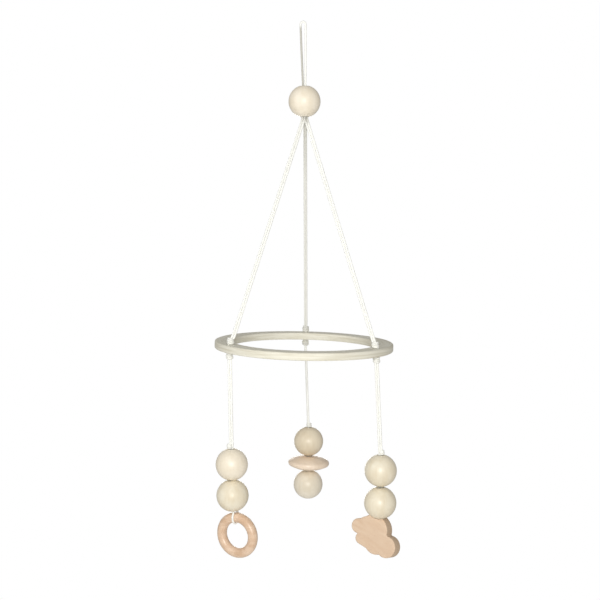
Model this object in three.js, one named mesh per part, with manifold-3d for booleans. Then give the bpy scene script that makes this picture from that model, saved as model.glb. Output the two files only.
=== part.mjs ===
// A wooden nursery mobile. A loop of waxed cotton cord carries one lacquered ball, three doubled
// cords run from that ball to a flat wooden ring, and each goes on through a hole in the ring to
// a pendant: two balls over a small ring, a saucer between two balls, and two balls over a cloud.
//
// Millimetres, +Z up, +X to the right and +Y to the back as it hangs. The origin is the point
// where a hook bears on the underside of the hanging loop.

import * as THREE from 'three';
import { mergeVertices } from 'three/addons/utils/BufferGeometryUtils.js';
import Module from 'manifold-3d';

const wasm = await Module();
wasm.setup();

// ---------------------------------------------------------------------------------------------
// Driving dimensions
// ---------------------------------------------------------------------------------------------

const CORD_D = 2;                 // waxed cotton cord
const TWIN_PITCH = 2.1;           // between the centres of the two strands of a doubled cord
const CORD_SIDES = 8;
const KNOT_W = 7;                 // an overhand knot tied in the doubled cord
const KNOT_H = 6.4;
const TOP_KNOT_W = 5.4;           // the same knot over a pendant's first ball, pulled tighter
const TOP_KNOT_H = 5.2;
const END_KNOT_W = 7.6;           // tied twice, too big for the bore it closes
const END_KNOT_H = 7;
const SEAT_GAP = 0.35;            // what stays open between two pieces that bear on each other

const LOOP_SPREAD = 4.5;          // between the loop's legs, centre to centre, under the hook
const LOOP_CROWN_H = 2.6;         // height of the crown's centreline over the legs

const BALL_D = 30;
const BALL_BORE = 6.5;
const BALL_MOUTH = 1.3;           // how much wider the bore's countersunk mouth is
const TOP_BALL_BORE = 9;          // six strands leave it, so its bore is wider
const TOP_BALL_Z = -72.4;
const BALL_SIDES = 18;
const BALL_STEPS = 8;

const RING_OUTER_R = 85;
const RING_INNER_R = 68.5;
const RING_T = 7;
const RING_EDGE_R = 1.3;          // rounded edges
const RING_SIDES = 48;
const RING_HOLE_D = 5.5;
const RING_HOLE_CIRCLE_R = 78;
const RING_CENTRE = new THREE.Vector3(-4.85, 0, -301.9);
const RING_LEAN = THREE.MathUtils.degToRad(2.4);   // it hangs with its right side low

const SAUCER_D = 48;
const SAUCER_T = 14.8;
const SAUCER_EDGE_R = 3;
const SAUCER_SIDES = 20;
const SAUCER_LEAN = THREE.MathUtils.degToRad(3.4);

const SMALL_RING_D = 43;
const SMALL_RING_TUBE_D = 9.2;
const SMALL_RING_YAW = THREE.MathUtils.degToRad(-29);
const SMALL_RING_SHIFT = new THREE.Vector3(3.6, -0.8, -37.6);   // its centre from the ball above
const SMALL_RING_HANGS_AT = -2;   // the cord bears this far along the ring from its top
const LEFT_LOWER_LEAN = THREE.MathUtils.degToRad(-5);           // of that ball's bore

const CLOUD_T = 12;
const CLOUD_EDGE_R = 1.2;
const CLOUD_YAW = THREE.MathUtils.degToRad(-32);      // its right end comes forward
const CLOUD_LEAN = THREE.MathUtils.degToRad(-12);     // its crown goes back
const CLOUD_TILT = THREE.MathUtils.degToRad(21);      // its right end hangs low
const CLOUD_DROP = 16.2;          // from the centre of the ball above to where the cord bends
const CLOUD_BORE = 6.5;
const CLOUD_BORE_X = 14;          // the bore stands square to the base, this far along it
const CLOUD_BEND_Y = 29.4;        // the bend's height over the base, just inside the bore
const KNOT_RECESS_D = 9;          // counterbore that hides the knot at a cord's lower end
const KNOT_RECESS_H = 9;

// The three pendants stand 120 degrees apart. `drift` is how far a pendant hangs to the side of
// its hole in the ring, `knotSide` how far its top knot bulges to the side, `exit` where its cord
// leaves the top ball. `knotPull` is how far the taut cord pulls the knot over the ring sideways,
// and `linePull` how far to the side of the hole the cord meets that knot. Each ball has its
// height and how far it sits to the side of the pendant.
const HOLE_TURN = THREE.MathUtils.degToRad(-1.5);
const PENDANTS = {
  left: {
    azimuth: 210, drift: -0.7, knotSide: -1.6, exit: [-1, -2],
    knotPull: 0.5, linePull: 3.1,
    upper: { z: -407.5, aside: 0 }, lower: { z: -436.9, aside: 0 },
  },
  back: {
    azimuth: 90, drift: 0.7, knotSide: 0.7, exit: [0.3, 2.6],
    knotPull: 0, linePull: 0,
    upper: { z: -412, aside: 0.4 }, lower: { z: -457, aside: -1 },
  },
  right: {
    azimuth: 330, drift: 2.2, knotSide: 1.2, exit: [0.9, 0.3],
    knotPull: -1.5, linePull: -3.1,
    upper: { z: -415.2, aside: 0 }, lower: { z: -445.6, aside: -0.8 },
  },
};
const SAUCER_Z = -434.6;

// ---------------------------------------------------------------------------------------------
// Finishes
// ---------------------------------------------------------------------------------------------

const finish = (color, roughness) => new THREE.MeshStandardMaterial({ color, roughness, metalness: 0 });
const CORD_FINISH = finish('#f6f4ea', 0.75);
const CREAM_LACQUER = finish('#f0e6d4', 0.45);
const SAND_LACQUER = finish('#ddcfb4', 0.42);
const WHITEWASHED_WOOD = finish('#cfcab9', 0.55);
const OILED_BEECH = finish('#e0bf98', 0.4);
const BARE_BEECH = finish('#e2c6a8', 0.7);

// ---------------------------------------------------------------------------------------------
// Solids, joins and cuts
// ---------------------------------------------------------------------------------------------

/** A closed geometry as a solid: its corners are welded and its empty triangles dropped. */
function solid(geometry) {
  const bare = geometry.clone();
  bare.deleteAttribute('normal');
  bare.deleteAttribute('uv');
  const welded = mergeVertices(bare, 1e-3);
  const triangles = [];
  for (let i = 0; i < welded.index.count; i += 3) {
    const [a, b, c] = [0, 1, 2].map((k) => welded.index.getX(i + k));
    if (a !== b && b !== c && c !== a) triangles.push(a, b, c);
  }
  return new wasm.Manifold(new wasm.Mesh({
    numProp: 3,
    vertProperties: Float32Array.from(welded.attributes.position.array),
    triVerts: Uint32Array.from(triangles),
  }));
}

/** A solid back as a three.js geometry. */
function geometryOf(manifold) {
  const mesh = manifold.getMesh();
  const geometry = new THREE.BufferGeometry();
  geometry.setAttribute('position', new THREE.BufferAttribute(mesh.vertProperties, mesh.numProp));
  geometry.setIndex(new THREE.BufferAttribute(mesh.triVerts, 1));
  return geometry;
}

const joined = (geometries) => geometryOf(geometries.map(solid).reduce((a, b) => a.add(b)));
const cut = (body, tools) => geometryOf(tools.map(solid).reduce((a, b) => a.subtract(b), solid(body)));

/** A profile of [radius, height] points, closed on itself, turned about the Z axis. */
function turned(profile, segments) {
  const points = [...profile, profile[0]].map(([r, z]) => new THREE.Vector2(r, z));
  return new THREE.LatheGeometry(points, segments).rotateX(Math.PI / 2);
}

/** Points along an arc of a profile, both ends included; angles in radians. */
function arc(cx, cy, r, from, to, steps) {
  return Array.from({ length: steps + 1 }, (_, i) => {
    const a = from + ((to - from) * i) / steps;
    return [cx + r * Math.cos(a), cy + r * Math.sin(a)];
  });
}

/** A drill: a cylinder along Z between two heights. */
function drill(diameter, z0, z1) {
  const rod = new THREE.CylinderGeometry(diameter / 2, diameter / 2, z1 - z0, 12);
  return rod.rotateX(Math.PI / 2).translate(0, 0, (z0 + z1) / 2);
}

// ---------------------------------------------------------------------------------------------
// Turned wood
// ---------------------------------------------------------------------------------------------

/** A ball with a bore right through it along Z and a countersunk mouth at each end. */
function boredBall(bore, recessed = false) {
  const r = BALL_D / 2;
  const mouthR = (bore + BALL_MOUTH) / 2;
  const mouthAngle = Math.acos(mouthR / r);
  const mouthZ = r * Math.sin(mouthAngle);
  const outside = arc(0, 0, r, -mouthAngle, mouthAngle, BALL_STEPS);
  const boreTop = mouthZ - BALL_MOUTH / 2;
  if (!recessed) return turned([...outside, [bore / 2, boreTop], [bore / 2, -boreTop]], BALL_SIDES);
  const recessR = KNOT_RECESS_D / 2;
  const recessAngle = Math.acos(recessR / r);
  const low = arc(0, 0, r, -recessAngle, mouthAngle, BALL_STEPS);
  const step = -r * Math.sin(recessAngle) + KNOT_RECESS_H;
  return turned([...low, [bore / 2, boreTop], [bore / 2, step], [recessR, step]], BALL_SIDES);
}

/** The saucer: two shallow spherical caps that meet in a rounded edge, bored along Z. */
function saucerGeometry() {
  const a = SAUCER_D / 2;
  const capR = (a * a + SAUCER_T * SAUCER_T / 4) / SAUCER_T;
  const capZ = capR - SAUCER_T / 2;
  const edgeX = Math.sqrt((capR - SAUCER_EDGE_R) ** 2 - capZ ** 2);
  const edgeAngle = Math.atan2(capZ, edgeX);
  const boreR = BALL_BORE / 2;
  const boreAngle = Math.acos(boreR / capR);
  const upper = arc(0, -capZ, capR, edgeAngle, boreAngle, 4);
  const lower = arc(0, capZ, capR, -boreAngle, -edgeAngle, 4);
  const edge = arc(edgeX, 0, SAUCER_EDGE_R, -edgeAngle, edgeAngle, 4).slice(1, -1);
  return turned([...lower, ...edge, ...upper], SAUCER_SIDES);
}

/** The flat ring, with rounded edges and its three cord holes, about its own centre. */
function ringGeometry() {
  const e = RING_EDGE_R;
  const [x0, x1] = [RING_INNER_R + e, RING_OUTER_R - e];
  const z1 = RING_T / 2 - e;
  const q = Math.PI / 2;
  const profile = [
    ...arc(x1, -z1, e, -q, 0, 2),
    ...arc(x1, z1, e, 0, q, 2),
    ...arc(x0, z1, e, q, 2 * q, 2),
    ...arc(x0, -z1, e, 2 * q, 3 * q, 2),
  ];
  const drills = Object.values(PENDANTS).map((pendant) => {
    const hole = holeInRing(pendant);
    return drill(RING_HOLE_D, -RING_T, RING_T).translate(hole.x, hole.y, 0);
  });
  return cut(turned(profile, RING_SIDES), drills);
}

// ---------------------------------------------------------------------------------------------
// The cloud
// ---------------------------------------------------------------------------------------------

// Its outline is a ring of overlapping discs, [x, y, radius] from the lower left corner of the
// base, counter-clockwise.
const CLOUD_LOBES = {
  right: [31, 10.8, 10],
  crown: [13, 18.2, 14.6],
  shoulder: [5.5, 17.4, 9.9],
  left: [-2.6, 14.4, 6.9],
  lowerLeft: [4.7, 5.4, 5.4],
};
const CLOUD_SWELL = [19.8, 11, 12.6];     // a low swell in the base
const CLOUD_BASE_Y = 0;
const CLOUD_ARC_STEPS = 6;                // flats along each disc's edge

/** Where two discs' edges cross, on the right of the line from the first centre to the second. */
function crossing([ax, ay, ar], [bx, by, br]) {
  const d = Math.hypot(bx - ax, by - ay);
  const along = (d * d + ar * ar - br * br) / (2 * d);
  const off = Math.sqrt(ar * ar - along * along);
  const [ux, uy] = [(bx - ax) / d, (by - ay) / d];
  return [ax + ux * along + uy * off, ay + uy * along - ux * off];
}

/** The cloud as a plate of even thickness, its base along X, the cord's bend at the origin. Its
    crown is dished to seat the ball whose centre is given. */
function cloudGeometry(ballCentre) {
  const discs = Object.values(CLOUD_LOBES);
  const last = discs.length - 1;
  const swellReach = Math.sqrt(CLOUD_SWELL[2] ** 2 - (CLOUD_SWELL[1] - CLOUD_BASE_Y) ** 2);
  const joints = discs.slice(1).map((disc, i) => crossing(discs[i], disc));
  const start = crossing(CLOUD_SWELL, discs[0]);
  const lowestOfLast = [discs[last][0], CLOUD_BASE_Y];
  const swellStart = [CLOUD_SWELL[0] - swellReach, CLOUD_BASE_Y];
  const ends = [...joints, lowestOfLast];
  const outline = new THREE.Shape();
  const sweep = ([cx, cy, r], from, to) => outline.absarc(
    cx, cy, r, Math.atan2(from[1] - cy, from[0] - cx), Math.atan2(to[1] - cy, to[0] - cx), false);
  discs.forEach((disc, i) => sweep(disc, i === 0 ? start : joints[i - 1], ends[i]));
  outline.lineTo(...swellStart);
  sweep(CLOUD_SWELL, swellStart, start);
  const plate = new THREE.ExtrudeGeometry(outline, {
    depth: CLOUD_T - 2 * CLOUD_EDGE_R,
    curveSegments: CLOUD_ARC_STEPS,
    bevelThickness: CLOUD_EDGE_R,
    bevelSize: CLOUD_EDGE_R,
    bevelOffset: -CLOUD_EDGE_R,
    bevelSegments: 1,
  });
  plate.translate(-CLOUD_BORE_X, -CLOUD_BEND_Y, CLOUD_EDGE_R - CLOUD_T / 2).rotateX(Math.PI / 2);
  const low = CLOUD_BASE_Y - CLOUD_BEND_Y;
  const shaft = drill(CLOUD_BORE, low - 10, 10);
  const recess = drill(KNOT_RECESS_D, low - 10, low + KNOT_RECESS_H);
  const dish = new THREE.SphereGeometry(BALL_D / 2 + 2 * SEAT_GAP, BALL_SIDES, BALL_SIDES / 2);
  return cut(plate, [shaft, recess, dish.translate(...ballCentre.toArray())]);
}

// ---------------------------------------------------------------------------------------------
// Cords
// ---------------------------------------------------------------------------------------------

/** A cord's centreline that carries a section at each of its points and nowhere else. */
class Route extends THREE.Curve {
  constructor(points) {
    super();
    this.points = points;
  }

  getPoint(t, target = new THREE.Vector3()) {
    const at = t * (this.points.length - 1);
    const i = Math.min(Math.floor(at), this.points.length - 2);
    return target.lerpVectors(this.points[i], this.points[i + 1], at - i);
  }

  getPointAt(t, target) {
    return this.getPoint(t, target);
  }

  getTangentAt(t, target = new THREE.Vector3()) {
    const i = Math.round(t * (this.points.length - 1));
    const before = this.points[Math.max(i - 1, 0)];
    const here = this.points[i];
    const after = this.points[Math.min(i + 1, this.points.length - 1)];
    const arriving = here.clone().sub(before).normalize();
    const leaving = after.clone().sub(here).normalize();
    return target.copy(arriving).add(leaving).normalize();
  }
}

/** One strand of cord along a list of points. */
function strand(points) {
  const section = new THREE.Shape();
  for (let i = 0; i < CORD_SIDES; i += 1) {
    const a = ((i + 0.5) / CORD_SIDES) * 2 * Math.PI;
    const [x, y] = [(CORD_D / 2) * Math.cos(a), (CORD_D / 2) * Math.sin(a)];
    if (i === 0) section.moveTo(x, y);
    else section.lineTo(x, y);
  }
  section.closePath();
  const route = new Route(points);
  return new THREE.ExtrudeGeometry(section, { steps: points.length - 1, extrudePath: route });
}

/** A tight knot as a waisted drum about the doubled cord, its axis along `axis`. */
function knot(centre, axis, width = KNOT_W, height = KNOT_H) {
  const [r, h] = [width / 2, height / 2];
  const half = [[0.55, 1], [1, 0.5], [0.95, 0]];
  const upper = half.map(([x, z]) => [x * r, z * h]);
  const lower = upper.slice(0, -1).reverse().map(([x, z]) => [x, -z]);
  const points = [[0, -h], ...[...upper, ...lower].reverse(), [0, h]];
  const drum = new THREE.LatheGeometry(points.map(([x, z]) => new THREE.Vector2(x, z)), CORD_SIDES);
  const turn = new THREE.Quaternion().setFromUnitVectors(new THREE.Vector3(0, 1, 0), axis);
  return drum.applyQuaternion(turn).translate(centre.x, centre.y, centre.z);
}

/** The centre of a pendant's hole, in the ring's own plane. */
function holeInRing({ azimuth }) {
  const a = THREE.MathUtils.degToRad(azimuth) + HOLE_TURN;
  return new THREE.Vector3(Math.cos(a), Math.sin(a), 0).multiplyScalar(RING_HOLE_CIRCLE_R);
}

const RING_TURN = new THREE.Quaternion().setFromAxisAngle(new THREE.Vector3(0, 1, 0), RING_LEAN);
const RING_UP = new THREE.Vector3(0, 0, 1).applyQuaternion(RING_TURN);
const DOWN = new THREE.Vector3(0, 0, -1);

/** A point of the ring's own frame, as it hangs. */
const onRing = (point) => point.clone().applyQuaternion(RING_TURN).add(RING_CENTRE);

/** The line that a pendant hangs on, as a point at height z, `aside` to the right of the line. */
function axisPoint(pendant, z, aside = 0) {
  const hole = onRing(holeInRing(pendant));
  return new THREE.Vector3(hole.x + pendant.drift + aside, hole.y, z);
}

/** A point on the bore of one of a pendant's balls, `rise` above the ball's centre. */
const inBore = (pendant, ball, rise = 0) => axisPoint(pendant, ball.z + rise, ball.aside);

/** Half of the twin pitch to the side, square to a run and seen full width from the front. */
function sideways(run) {
  return new THREE.Vector3(-run.z, 0, run.x).setLength(TWIN_PITCH / 2);
}

/** What every doubled cord has: its run from the top ball to the beads, and the three knots. */
function suspension(pendant) {
  const hole = holeInRing(pendant);
  const knotAway = RING_T / 2 + SEAT_GAP + KNOT_H / 2;
  const above = onRing(hole.clone().setZ(knotAway));
  const entry = onRing(hole.clone().setZ(knotAway + KNOT_H / 2));
  const throat = onRing(hole.clone().setZ(RING_T / 2 + SEAT_GAP));
  const below = onRing(hole.clone().setZ(-knotAway));
  above.x += pendant.knotPull;
  entry.x += pendant.linePull;
  const [ex, ey] = pendant.exit;
  const inBall = new THREE.Vector3(ex, ey, TOP_BALL_Z - 1);
  const exit = new THREE.Vector3(ex, ey, TOP_BALL_Z - BALL_D / 2 - 0.5);
  const topKnot = inBore(pendant, pendant.upper, BALL_D / 2 + TOP_KNOT_H / 2 - SEAT_GAP);
  const bulge = topKnot.clone().setX(topKnot.x + pendant.knotSide);
  const topDrum = knot(bulge, DOWN.clone().negate(), TOP_KNOT_W, TOP_KNOT_H);
  const slope = exit.clone().sub(entry).normalize();
  return {
    spine: [inBall, exit, entry, above, throat, below, topKnot],
    runs: [DOWN, slope.clone().negate(), slope.clone().negate(), DOWN, DOWN, DOWN, DOWN],
    knots: [knot(above, RING_UP), knot(below, RING_UP), topDrum],
  };
}

/** A spine's points moved half the twin pitch to one side, where `way` is 1, or the other, -1. */
function beside(spine, sides, way) {
  return spine.map((point, i) => point.clone().addScaledVector(sides[i], way));
}

/** The left cord is folded round the small ring: one strand comes down in front of it and the
    other goes back up behind it, through both balls. */
function leftCord(pendant, ballLean, tubeCentre) {
  const { spine, runs, knots } = suspension(pendant);
  const front = new THREE.Vector3(Math.sin(SMALL_RING_YAW), -Math.cos(SMALL_RING_YAW), 0);
  const foldR = SMALL_RING_TUBE_D / 2 + CORD_D / 2 + 2 * SEAT_GAP;
  const foldSteps = 8;
  const contact = THREE.MathUtils.degToRad(46);
  const fold = Array.from({ length: foldSteps + 1 }, (_, i) => {
    const a = contact - (i / foldSteps) * (Math.PI + 2 * contact);
    const rim = tubeCentre.clone().addScaledVector(front, foldR * Math.cos(a));
    return rim.setZ(tubeCentre.z + foldR * Math.sin(a));
  });
  const inside = BALL_D / 2 - 1.5;
  const lowerCentre = inBore(pendant, pendant.lower);
  const bore = [
    inBore(pendant, pendant.upper, -inside),
    ballLean.clone().multiplyScalar(inside).add(lowerCentre),
    ballLean.clone().multiplyScalar(-inside).add(lowerCentre),
  ];
  const ahead = front.clone().setLength(TWIN_PITCH / 2);
  const sides = [...runs.map((run) => sideways(run).negate()), ...bore.map(() => ahead)];
  const [down, up] = [1, -1].map((way) => beside([...spine, ...bore], sides, way));
  return joined([strand([...down, ...fold, ...up.reverse()]), ...knots]);
}

/** The back and right cords go down their bores and end in a knot, hidden in a recess. */
function endedCord(pendant, bore, endAxis) {
  const { spine, runs, knots } = suspension(pendant);
  const sides = [...runs, ...bore.map(() => DOWN)].map(sideways);
  const strands = [1, -1].map((way) => strand(beside([...spine, ...bore], sides, way)));
  const end = knot(bore[bore.length - 1], endAxis, END_KNOT_W, END_KNOT_H);
  return joined([...strands, ...knots, end]);
}

/** The hanging loop: two legs out of the top ball that close in a crown under the hook. */
function loopGeometry() {
  const half = LOOP_SPREAD / 2;
  const crownZ = CORD_D / 2;
  const legTop = crownZ - LOOP_CROWN_H;
  const crown = arc(0, 0, 1, 0, Math.PI, 8).map(([c, s]) => (
    new THREE.Vector3(half * c, 0, legTop + LOOP_CROWN_H * s)));
  const inBall = TOP_BALL_Z + 3;
  const neck = TOP_BALL_Z + BALL_D / 2 + 1;
  const leg = (side) => [
    new THREE.Vector3(side * 1.15, 0, inBall),
    new THREE.Vector3(side * 1.15, 0, neck),
    new THREE.Vector3(side * 1.35, 0, neck + 10),
    new THREE.Vector3(side * 1.75, 0, legTop - 22),
  ];
  return joined([strand([...leg(1), ...crown, ...leg(-1).reverse()])]);
}

// ---------------------------------------------------------------------------------------------
// Assembly
// ---------------------------------------------------------------------------------------------

const mobile = new THREE.Group();

/** Adds a named piece to the mobile. */
function piece(name, geometry, material, position = [0, 0, 0]) {
  const mesh = new THREE.Mesh(geometry, material);
  mesh.name = name;
  mesh.position.set(...position);
  mobile.add(mesh);
  return mesh;
}

piece('hanging_loop', loopGeometry(), CORD_FINISH);
piece('top_ball', boredBall(TOP_BALL_BORE), CREAM_LACQUER, [0, 0, TOP_BALL_Z]);
piece('ring', ringGeometry(), WHITEWASHED_WOOD, RING_CENTRE.toArray()).rotation.y = RING_LEAN;

// Left pendant: two balls over the small ring.
const { left, back, right } = PENDANTS;
piece('left_upper_ball', boredBall(BALL_BORE), CREAM_LACQUER, inBore(left, left.upper).toArray());
piece('left_lower_ball', boredBall(BALL_BORE), CREAM_LACQUER, inBore(left, left.lower).toArray())
  .rotation.y = LEFT_LOWER_LEAN;
const smallRingAt = inBore(left, left.lower).add(SMALL_RING_SHIFT);
const smallRingR = (SMALL_RING_D - SMALL_RING_TUBE_D) / 2;
const smallRing = piece(
  'small_ring', new THREE.TorusGeometry(smallRingR, SMALL_RING_TUBE_D / 2, 10, 24).rotateX(Math.PI / 2),
  OILED_BEECH, smallRingAt.toArray());
smallRing.rotation.z = SMALL_RING_YAW;
const bearing = new THREE.Vector3(
  SMALL_RING_HANGS_AT, 0, Math.sqrt(smallRingR ** 2 - SMALL_RING_HANGS_AT ** 2))
  .applyAxisAngle(new THREE.Vector3(0, 0, 1), SMALL_RING_YAW).add(smallRingAt);
const boreUp = new THREE.Vector3(Math.sin(LEFT_LOWER_LEAN), 0, Math.cos(LEFT_LOWER_LEAN));
piece('left_cord', leftCord(left, boreUp, bearing), CORD_FINISH);

// Back pendant: a saucer between two balls.
piece('back_upper_ball', boredBall(BALL_BORE), SAND_LACQUER, inBore(back, back.upper).toArray());
piece('saucer', saucerGeometry(), SAND_LACQUER, axisPoint(back, SAUCER_Z).toArray())
  .rotation.y = SAUCER_LEAN;
piece('back_lower_ball', boredBall(BALL_BORE, true), CREAM_LACQUER, inBore(back, back.lower).toArray());
const recessFloor = -Math.sqrt(BALL_D ** 2 - KNOT_RECESS_D ** 2) / 2 + KNOT_RECESS_H;
const endKnotDrop = SEAT_GAP + END_KNOT_H / 2;      // a knot's centre under its recess's floor
const backBore = [
  inBore(back, back.upper),
  inBore(back, back.lower, BALL_D / 2),
  inBore(back, back.lower, recessFloor - endKnotDrop),
];
piece('back_cord', endedCord(back, backBore, DOWN), CORD_FINISH);

// Right pendant: two balls over the cloud.
piece('right_upper_ball', boredBall(BALL_BORE), CREAM_LACQUER, inBore(right, right.upper).toArray());
piece('right_lower_ball', boredBall(BALL_BORE), CREAM_LACQUER, inBore(right, right.lower).toArray());
const cloudAt = axisPoint(right, right.lower.z - CLOUD_DROP);
const cloudTurn = new THREE.Euler(CLOUD_LEAN, CLOUD_TILT, CLOUD_YAW, 'ZXY');
const ballOverCloud = inBore(right, right.lower).sub(cloudAt)
  .applyQuaternion(new THREE.Quaternion().setFromEuler(cloudTurn).invert());
piece('cloud', cloudGeometry(ballOverCloud), BARE_BEECH, cloudAt.toArray()).rotation.copy(cloudTurn);
const cloudDown = DOWN.clone().applyEuler(cloudTurn);
const cloudKnotDepth = CLOUD_BEND_Y - CLOUD_BASE_Y - KNOT_RECESS_H + endKnotDrop;
const rightBore = [
  inBore(right, right.upper),
  inBore(right, right.lower),
  cloudAt.clone(),
  cloudAt.clone().addScaledVector(cloudDown, cloudKnotDepth),
];
piece('right_cord', endedCord(right, rightBore, cloudDown), CORD_FINISH);

export default mobile;
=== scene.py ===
"""A wooden nursery mobile, dressed for the render. Metres, +Z up. The origin is the point where a
hook bears on the underside of the hanging loop.
"""

import math

import bpy
import numpy as np
from mathutils import Matrix, Vector


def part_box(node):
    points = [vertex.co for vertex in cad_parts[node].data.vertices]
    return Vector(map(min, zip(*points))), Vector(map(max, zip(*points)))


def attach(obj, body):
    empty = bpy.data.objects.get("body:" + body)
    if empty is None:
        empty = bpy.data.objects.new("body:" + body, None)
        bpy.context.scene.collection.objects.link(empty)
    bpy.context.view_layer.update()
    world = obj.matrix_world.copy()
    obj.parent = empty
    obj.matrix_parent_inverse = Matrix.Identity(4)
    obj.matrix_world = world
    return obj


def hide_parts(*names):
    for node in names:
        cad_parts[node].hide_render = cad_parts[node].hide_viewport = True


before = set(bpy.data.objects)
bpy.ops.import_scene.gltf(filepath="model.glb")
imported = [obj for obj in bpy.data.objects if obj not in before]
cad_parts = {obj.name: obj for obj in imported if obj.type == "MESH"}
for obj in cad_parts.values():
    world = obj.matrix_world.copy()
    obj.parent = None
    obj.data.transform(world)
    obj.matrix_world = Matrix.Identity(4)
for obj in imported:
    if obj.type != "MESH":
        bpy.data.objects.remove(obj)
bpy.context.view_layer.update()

# --- Camera ----------------------------------------------------------------------------------
# It stands a metre in front of the mobile, below the top ball and above the ring, looks slightly
# down, and leans about a degree clockwise.
CAMERA_AT = (-0.0078, -1.042, -0.1695)
LOOKS_DOWN = math.radians(4.9)
CAMERA_LEAN = math.radians(1.1)

camera = bpy.data.objects.new("camera", bpy.data.cameras.new("camera"))
camera.data.sensor_width = 36
camera.data.lens = 66
camera.location = CAMERA_AT
level = Matrix.Rotation(math.pi / 2 - LOOKS_DOWN, 3, "X")
camera.rotation_euler = (level @ Matrix.Rotation(-CAMERA_LEAN, 3, "Z")).to_euler()
bpy.context.collection.objects.link(camera)
bpy.context.scene.camera = camera

# --- Hanging loop ----------------------------------------------------------------------------
# A short length of waxed cotton cord. Both its ends are tied inside the top ball, and it stands
# in a narrow loop that closes round the hook. Three plies are laid together, then waxed smooth.
MM = 0.001
CORD_D = 2 * MM
CORD_LAY = 7 * MM            # length of one full turn of the three plies
PLY_CREST = 1.02             # how far out the plies stand, as a share of the cord's radius
PLY_GROOVE = 0.04            # how deep the grooves between them go, as a share of it too
CORD_SIDES = 15
CORD_STEP = 0.5 * MM
TOP_BALL_Z = -72.4 * MM
BALL_D = 30 * MM
LOOP_HALF = 2.4 * MM        # from the middle of the loop to the middle of a leg, under the hook
LOOP_CROWN_H = 2.6 * MM
LOOP_GRIP = 1.15 * MM       # from the middle of the loop to the middle of a leg, in the ball
LOOP_ROUNDING = 1.5 * MM    # the reach over which the loop's corners are rounded
LOOP_LEG_SHADE = 0.7             # painted shade: how grey the left leg is
LOOP_SHADE_FADE = 4 * MM     # how far under the crown that painted shade takes to come in


def paint(code):
    """An sRGB hex colour as linear red, green, blue and alpha."""
    srgb = np.array([int(code[k:k + 2], 16) for k in (1, 3, 5)]) / 255
    linear = np.where(srgb <= 0.04045, srgb / 12.92, ((srgb + 0.055) / 1.055) ** 2.4)
    return (*linear, 1.0)


def node(tree, kind, inputs=None, **settings):
    """Adds a shader node: settings are its own choices, inputs give sockets a value or a link."""
    made = tree.nodes.new("ShaderNode" + kind)
    for key, value in settings.items():
        setattr(made, key, value)
    for socket, value in (inputs or {}).items():
        if isinstance(value, bpy.types.NodeSocket):
            tree.links.new(value, made.inputs[socket])
        else:
            made.inputs[socket].default_value = value
    return made


def finish_of(name, **sockets):
    """A new material with its surface's plain values set. Returns it, its nodes and surface."""
    made = bpy.data.materials.new(name)
    made.use_nodes = True
    surface = made.node_tree.nodes["Principled BSDF"]
    for socket, value in sockets.items():
        surface.inputs[socket.replace("_", " ")].default_value = value
    return made, made.node_tree, surface


def rounded_route(corners, reach):
    """Corners to a smooth path: points at even steps along the straight runs, then each point
    averaged with its neighbours over `reach`, as limp cord rounds its corners. The two ends are
    mirrored outwards first, so they stay where they are."""
    corners = np.asarray(corners, float)
    lengths = np.linalg.norm(np.diff(corners, axis=0), axis=1)
    along = np.concatenate([[0], np.cumsum(lengths)])
    steps = np.linspace(0, along[-1], int(along[-1] / CORD_STEP))
    points = np.stack([np.interp(steps, along, corners[:, k]) for k in range(3)], axis=1)
    half = max(int(reach / CORD_STEP / 2), 1)
    before = 2 * points[0] - points[half:0:-1]
    after = 2 * points[-1] - points[-2:-half - 2:-1]
    longer = np.concatenate([before, points, after])
    window = np.ones(2 * half + 1) / (2 * half + 1)
    return np.stack([np.convolve(longer[:, k], window, "valid") for k in range(3)], axis=1)


def cord_skin(path, across, diameter=CORD_D):
    """A laid cord's skin, one ring of points at each step of its path. A ring is square to the
    path, and its zero is square to `across`, a direction the path never takes. The radius dips
    where the cosine of one and a half times the angle, turned on by the lay, crosses zero: that
    makes three grooves. Returns the rings and how deep in a groove each point is, 0 to 1."""
    ahead = np.gradient(path, axis=0)
    ahead /= np.linalg.norm(ahead, axis=1, keepdims=True)
    side = np.cross(ahead, across)
    side /= np.linalg.norm(side, axis=1, keepdims=True)
    up = np.cross(side, ahead)
    steps = np.linalg.norm(np.diff(path, axis=0), axis=1)
    along = np.concatenate([[0], np.cumsum(steps)])[:, None]
    turn = np.linspace(0, 2 * np.pi, CORD_SIDES, endpoint=False)[None, :]
    groove = 1 - np.abs(np.cos(1.5 * (turn - 2 * np.pi * along / CORD_LAY)))
    radius = diameter / 2 * (PLY_CREST - PLY_GROOVE * groove)
    ring = np.cos(turn)[..., None] * side[:, None] + np.sin(turn)[..., None] * up[:, None]
    return path[:, None] + radius[..., None] * ring, groove


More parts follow.
